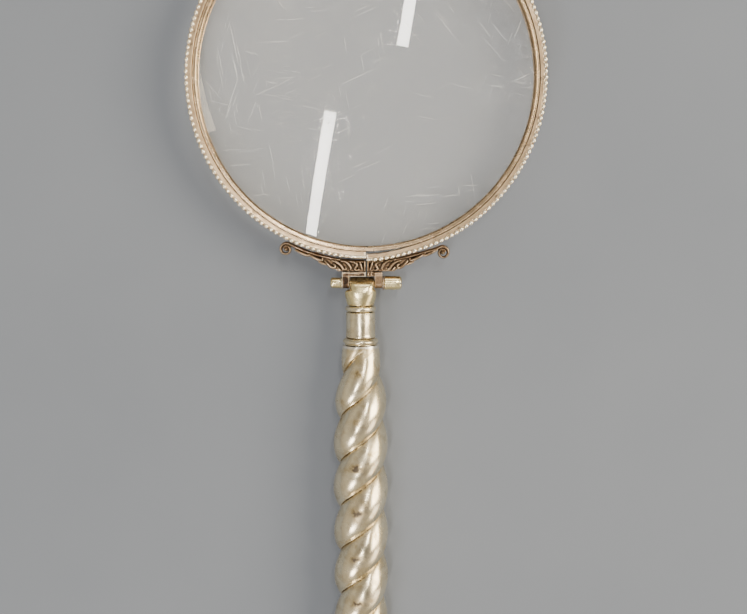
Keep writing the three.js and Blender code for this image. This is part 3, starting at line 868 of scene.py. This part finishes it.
# ------------------------------------------------------------------ stem
HX = (HANDLE_X, 0, 0)
lathe_piece("upper_collar_bead", [(1.9, -67.12, 0.05), (4.15, -67.12, 0.25), (4.55, -67.45, 0.3), (4.62, -67.95, 0.3), (4.5, -68.4, 0.3), (4.15, -68.72, 0.2), (1.9, -68.72, 0.05)],
            128, "y", "handle", SILVER, "upper_collar", shift=HX, step=0.25)
lathe_piece("ferrule_tube", [(3.35, -68.97, 0.05), (4.2, -68.97, 0.1), (4.36, -69.1, 0.1), (4.33, -69.5, 0.2), (4.36, -72.5, 1), (4.35, -75.7, 0.4), (4.42, -76.1, 0.2), (4.38, -76.52, 0.1), (3.35, -76.52, 0.05)],
            128, "y", "handle", SILVER, "ferrule", shift=HX, step=0.3,
            wobble=lambda a, i, r, h: (0.03 * math.sin(2 * a + 0.6) + 0.012 * math.sin(5 * a + h)) if r > 4 else 0)
lathe_piece("lower_collar_bead", [(1.9, -76.78, 0.05), (4.45, -76.78, 0.3), (4.95, -77.05, 0.3), (5.32, -77.45, 0.35), (5.38, -77.85, 0.3), (5.1, -78.3, 0.3), (4.7, -78.5, 0.15), (4.75, -78.7, 0.1), (1.9, -78.7, 0.05)],
            144, "y", "handle", SILVER, "lower_collar", shift=HX, step=0.22)

# ------------------------------------------------------------------ twisted handle
CREST = [(-78.95, 5.45), (-80.5, 5.6), (-83, 5.8), (-86, 6.35), (-89, 6.95), (-92.5, 7.5), (-97, 7.9), (-104, 8.15), (-112, 8.28), (-140, 8.3), (-168, 8.2), (-178, 7.9), (-184, 7.4), (-189, 6.7), (-192, 6.3)]


def crest_at(y):
    ys = np.array([c[0] for c in CREST])[::-1]
    rs = np.array([c[1] for c in CREST])[::-1]
    return float(np.interp(y, ys, rs))


def twisted():
    rows, half = 420, 96
    ys = np.linspace(HANDLE_TOP, HANDLE_END, rows)
    t = np.arange(half) / half
    u = 0.62 * t + 0.38 * (0.5 - 0.5 * np.cos(math.pi * t))
    smooth_ys = np.array([crest_at(y) for y in ys])
    k = np.hanning(25)
    k /= k.sum()
    smooth_ys = np.convolve(np.pad(smooth_ys, 12, "edge"), k, "valid")
    verts = []
    rng = np.random.default_rng(5)
    for i, y in enumerate(ys):
        crest = smooth_ys[i]
        fade = min(1.0, 0.55 + (HANDLE_TOP - y) / 9.0, 0.25 + (y - HANDLE_END) / 7.0)
        turn = 2 * math.pi * (y - CREASE_AT) / LEAD
        for s in (0, 1):
            for uu in u:
                g = max(math.sin(math.pi * uu**1.18), 0.0) ** 0.62
                depth = 0.30 * crest * fade
                r = crest - depth * (1 - g)
                # raised lip along the lower edge of each strand
                lip = 0.30 * math.exp(-(((1 - uu) / 0.018) ** 2)) + 0.12 * math.exp(-((uu / 0.012) ** 2))
                r += lip * fade
                # slow hand-raised unevenness
                r += 0.05 * math.sin(0.31 * y + 2.1 * s + 3 * uu) * fade
                th = math.pi - turn + math.pi * s - math.pi * uu
                verts.append((r * math.cos(th), y, r * math.sin(th)))
    cols = 2 * half
    faces = ring_faces(rows, cols)
    # inside of the tube, closed at the bottom
    inner = [(3.5, HANDLE_TOP), (3.5, -86), (5.0, -95), (5.2, -100), (5.2, -178), (4.3, -188)]
    base = len(verts)
    ang = [math.pi - 2 * math.pi * (HANDLE_TOP - CREASE_AT) / LEAD - 2 * math.pi * j / cols for j in range(cols)]
    for r, y in inner:
        for a in ang:
            verts.append((r * math.cos(a), y, r * math.sin(a)))
    faces += [tuple(reversed(q)) for q in ring_faces(len(inner), cols, offset=base)]
    for j in range(cols):
        k2 = (j + 1) % cols
        faces.append((j, base + j, base + k2, k2))
    ci = len(verts)
    verts += [(0, -188, 0), (0, HANDLE_END, 0)]
    li, lo_ = base + (len(inner) - 1) * cols, (rows - 1) * cols
    for j in range(cols):
        k2 = (j + 1) % cols
        faces.append((ci, li + j, li + k2))
        faces.append((ci + 1, lo_ + k2, lo_ + j))
    return verts, faces


v, f = twisted()
shell = piece("twisted_handle", v, f, "handle", SILVER, "handle_shell", sharp=62, shift=HX)


def stain_and_shade(ob):
    """Brown tarnish where the strands are touched least: a patch on each strand's upper half in front, and others round
    the back. Also painted shade along the top of each strand, in the crease under the lip of the strand above, with the
    lip itself kept clear of it.
    """
    n = len(ob.data.vertices)
    co = np.zeros(n * 3)
    ob.data.vertices.foreach_get("co", co)
    co = (co.reshape(-1, 3) - ORIGIN) / MM
    th = np.arctan2(co[:, 2], co[:, 0] - HANDLE_X)
    rng = np.random.default_rng(8)
    spots = [(1.70, y, k) for y, k in ((-87.2, 0.8), (-101.2, 0.55), (-115.1, 1.1), (-128.8, 1.0), (-143.2, 1.0), (-157.0, 0.9), (-171.0, 0.9), (-184.0, 0.7))]
    spots += [(rng.uniform(-math.pi, 0.2), y, rng.uniform(0.4, 0.9)) for y in np.arange(-84, -190, -6.5)]
    spots += [(rng.uniform(0.2, 2.8), y, rng.uniform(0.15, 0.4)) for y in np.arange(-86, -190, -5.0)]
    val = np.zeros(n)
    for t0, y0, k in spots:
        d = (th - t0 + math.pi) % (2 * math.pi) - math.pi
        along = d * 7.5 + 0.45 * (co[:, 1] - y0)
        across = (co[:, 1] - y0) - 0.25 * d * 7.5
        val += k * (0.35 * np.exp(-((along / 2.6) ** 2) - (across / 2.2) ** 2) + 1.0 * np.exp(-((along / 1.45) ** 2) - (across / 0.95) ** 2))
    u = ((math.pi - 2 * math.pi * (co[:, 1] - CREASE_AT) / LEAD - th) / math.pi) % 1.0
    # painted shade along the top of each strand, in the crease under the lip of the strand above; the lip itself is
    # kept clear
    val += 0.70 * np.exp(-((u / 0.035) ** 2)) + 0.22 * np.exp(-((u / 0.10) ** 2)) - 0.7 * np.exp(-(((1 - u) / 0.028) ** 2))
    val[np.hypot(co[:, 0] - HANDLE_X, co[:, 2]) < 5.25] = 0.3
    att = ob.data.attributes.new("stain_and_shade", "FLOAT", "POINT")
    att.data.foreach_set("value", val.astype(np.float32))


stain_and_shade(shell)

lathe_piece("end_collar_bead", [(2.3, -192.22, 0.05), (6.2, -192.22, 0.3), (6.9, -192.5, 0.3), (7.32, -193.0, 0.35), (7.36, -193.5, 0.35), (7.05, -194.1, 0.3), (6.5, -194.55, 0.2), (2.3, -194.55, 0.05)],
            144, "y", "handle", SILVER, "end_collar", shift=HX, step=0.25)
lathe_piece("end_cap_dome", [(0, -192.2), (1.85, -192.2, 0.05), (1.85, -194.82, 0.05), (6.3, -194.82, 0.2), (6.5, -195.3, 0.3), (6.45, -196.4, 0.5), (5.9, -198.2, 1.0), (4.7, -199.8, 0.9), (3.3, -200.85, 0.3), (3.0, -200.97, 0.1), (0, -200.97)],
            144, "y", "handle", SILVER, "end_cap", closed=False, shift=HX, step=0.3)

for n, m in (("tang_rod", STEEL), ("handle_filling", PITCH)):
    ob = frame["nodes"][n]
    ob.data.materials.clear()
    ob.data.materials.append(m)

# ------------------------------------------------------------------ floor, light, camera
def floor():
    me = bpy.data.meshes.new("floor")
    s = 2.5
    me.from_pydata([(-s, -s, 0), (s, -s, 0), (s, s, 0), (-s, s, 0)], [], [(0, 1, 2, 3)])
    ob = bpy.data.objects.new("floor", me)
    ob.location = (0, 0, -0.0002)
    bpy.context.scene.collection.objects.link(ob)
    m, nt, bsdf = material("pale_floor")
    N = Nodes(nt)
    n = N.noise(9, detail=4)
    N.link(N.ramp(n, [(0.3, (0.195, 0.215, 0.25)), (0.7, (0.215, 0.235, 0.27))]), bsdf.inputs["Base Color"])
    bsdf.inputs["Roughness"].default_value = 0.9
    bsdf.inputs["Specular IOR Level"].default_value = 0.2
    me.materials.append(m)


def area(name, loc, aim, size, power, color=(1, 1, 1), size_y=None, roll=0.0):
    ld = bpy.data.lights.new(name, "AREA")
    ld.energy = power
    ld.color = color
    ld.shape = "RECTANGLE" if size_y else "DISK"
    ld.size = size
    if size_y:
        ld.size_y = size_y
    ob = bpy.data.objects.new(name, ld)
    ob.location = loc
    d = Vector(aim) - Vector(loc)
    q = d.to_track_quat("-Z", "Y")
    ob.rotation_mode = "QUATERNION"
    ob.rotation_quaternion = q
    if roll:
        from mathutils import Quaternion
        ob.rotation_quaternion = q @ Quaternion((0, 0, 1), roll)
    bpy.context.scene.collection.objects.link(ob)
    return ob


def tube_light(name, a, b, width, power, color=(1, 1, 1)):
    """A long straight light between two points, facing down."""
    a, b = Vector(a), Vector(b)
    ld = bpy.data.lights.new(name, "AREA")
    ld.energy, ld.color, ld.shape = power, color, "RECTANGLE"
    ld.size, ld.size_y = width, (b - a).length
    ob = bpy.data.objects.new(name, ld)
    y = (b - a).normalized()
    z = Vector((0, 0, 1))
    z = (z - y * z.dot(y)).normalized()
    x = y.cross(z)
    ob.matrix_world = Matrix.Translation((a + b) / 2) @ Matrix((x, y, z)).transposed().to_4x4()
    bpy.context.scene.collection.objects.link(ob)
    return ob


floor()
RC = Vector(ORIGIN)
H = 1.5
tube_light("tube", RC + Vector((-0.19, 0.005, H)), RC + Vector((-0.325, -0.685, H)), 0.06, 8.0, (1.0, 0.965, 0.90))
tube_light("second_tube", RC + Vector((0.275, 0.89, H)), RC + Vector((0.174, 0.336, H)), 0.058, 6.0, (1.0, 0.965, 0.90))
area("window", RC + Vector((0.84, 0.1, 0.66)), RC + Vector((0, -0.1, 0)), 0.58, 12.5, (1.0, 0.89, 0.71), size_y=0.65)
area("bounce", RC + Vector((0.86, -0.58, 0.36)), RC + Vector((0, -0.12, 0)), 0.45, 2.2, (1.0, 0.88, 0.72), size_y=0.5)
area("lamp", RC + Vector((-0.31, -0.84, 0.68)), RC + Vector((0, -0.12, 0)), 0.34, 4.0, (1.0, 0.94, 0.90))
area("top", RC + Vector((0.05, 0.95, 0.62)), RC + Vector((0, -0.05, 0)), 0.5, 1.5, (1.0, 0.95, 0.88), size_y=0.3)

world_ = bpy.data.worlds.new("studio")
world_.use_nodes = True
wt = world_.node_tree
wt.nodes.clear()
wo = wt.nodes.new("ShaderNodeOutputWorld")
wb = wt.nodes.new("ShaderNodeBackground")
tc = wt.nodes.new("ShaderNodeTexCoord")
sep = wt.nodes.new("ShaderNodeSeparateXYZ")
cr = wt.nodes.new("ShaderNodeValToRGB")
mid_ = cr.color_ramp.elements.new(0.5)
mid_.color = (0.64, 0.59, 0.485, 1)
over = cr.color_ramp.elements.new(0.86)
over.color = (0.36, 0.33, 0.29, 1)
cr.color_ramp.elements[0].position = 0.0
cr.color_ramp.elements[0].color = (0.40, 0.37, 0.33, 1)
cr.color_ramp.elements[3].position = 1.0
cr.color_ramp.elements[3].color = (0.14, 0.13, 0.12, 1)
wt.links.new(tc.outputs["Generated"], sep.inputs[0])
wt.links.new(sep.outputs["Z"], cr.inputs[0])
wt.links.new(cr.outputs[0], wb.inputs[0])
wb.inputs[1].default_value = 1.0
wt.links.new(wb.outputs[0], wo.inputs[0])
bpy.context.scene.world = world_

cam_data = bpy.data.cameras.new("camera")
cam_data.sensor_width = 36.0
cam_data.lens = 36.0 * 1000.0 / 747.0
cam_data.clip_start, cam_data.clip_end = 0.01, 20
cam = bpy.data.objects.new("camera", cam_data)
bpy.context.scene.collection.objects.link(cam)
al = math.radians(6.004)
right = Vector((1, 0, 0))
up = Vector((0, math.cos(al), -math.sin(al)))
ahead = Vector((0, -math.sin(al), -math.cos(al)))
ring_front = RC + Vector((0, 0, 2.5 * MM))
pos = ring_front - right * (-2.167 * MM) - up * (66.859 * MM) - ahead * (291.134 * MM)
cam.matrix_world = Matrix.Translation(pos) @ Matrix((right, up, -ahead)).transposed().to_4x4()
bpy.context.scene.camera = cam
